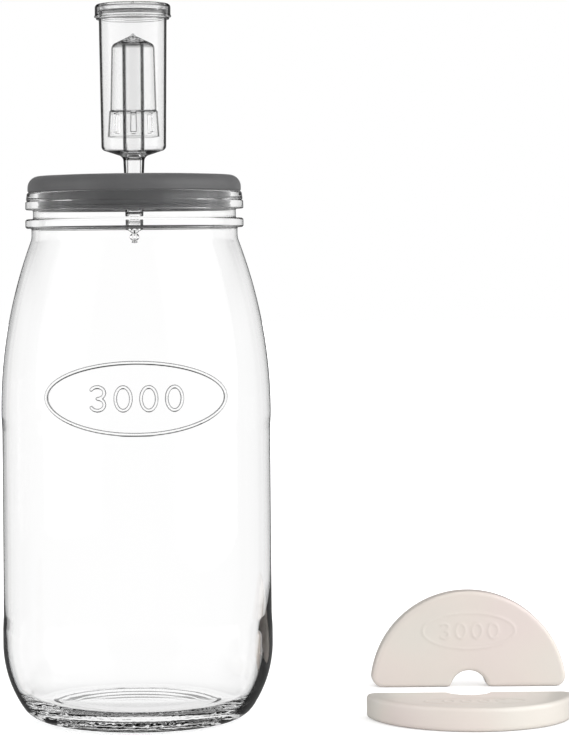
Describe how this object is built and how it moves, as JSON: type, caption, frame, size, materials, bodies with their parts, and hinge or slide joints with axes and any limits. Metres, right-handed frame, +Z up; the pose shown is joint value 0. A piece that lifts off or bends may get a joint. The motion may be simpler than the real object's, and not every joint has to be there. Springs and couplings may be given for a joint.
{
  "type": "fermentation jar",
  "caption": "Tall glass jar with a soft grey stopper lid, a clear three-piece water airlock and a pair of ivory half-disc weights.",
  "frame": {"origin": "centre of the jar's flat bearing ring, on the surface that it stands on", "axes": "+Z up along the jar's axis, +X towards the weights, -Y towards the viewer"},
  "size_m": [0.3001, 0.1648, 0.3639],
  "materials": {
    "jar_glass": "clear, smooth, slightly wavy inside",
    "lid_silicone": "matte moulded silicone",
    "airlock_plastic": "clear, glossy",
    "weight_ceramic": "ivory satin glaze"
  },
  "bodies": {
    "jar": {"glass_jar": "jar_glass"},
    "lid": {"stopper_lid": "lid_silicone"},
    "airlock": {"airlock_cup": "airlock_plastic"},
    "bell": {"airlock_bell": "airlock_plastic"},
    "cap": {"airlock_cap": "airlock_plastic"},
    "half_standing": {"weight_standing": "weight_ceramic"},
    "half_lying": {"weight_lying": "weight_ceramic"}
  },
  "joints": [
    {"name": "lid_lift", "type": "slide", "parent": "jar", "child": "lid", "axis": [0, 0, 1], "range_m": [0, 0.08]},
    {"name": "airlock_pull", "type": "slide", "parent": "lid", "child": "airlock", "axis": [0, 0, 1], "range_m": [0, 0.05]},
    {"name": "bell_float", "type": "slide", "parent": "airlock", "child": "bell", "axis": [0, 0, 1], "range_m": [0, 0.012]},
    {"name": "cap_pull", "type": "slide", "parent": "airlock", "child": "cap", "axis": [0, 0, 1], "range_m": [0, 0.03]},
    {"name": "standing_lift", "type": "slide", "parent": "jar", "child": "half_standing", "axis": [0, 0, 1], "range_m": [0, 0.06]},
    {"name": "lying_lift", "type": "slide", "parent": "jar", "child": "half_lying", "axis": [0, 0, 1], "range_m": [0, 0.06]}
  ]
}
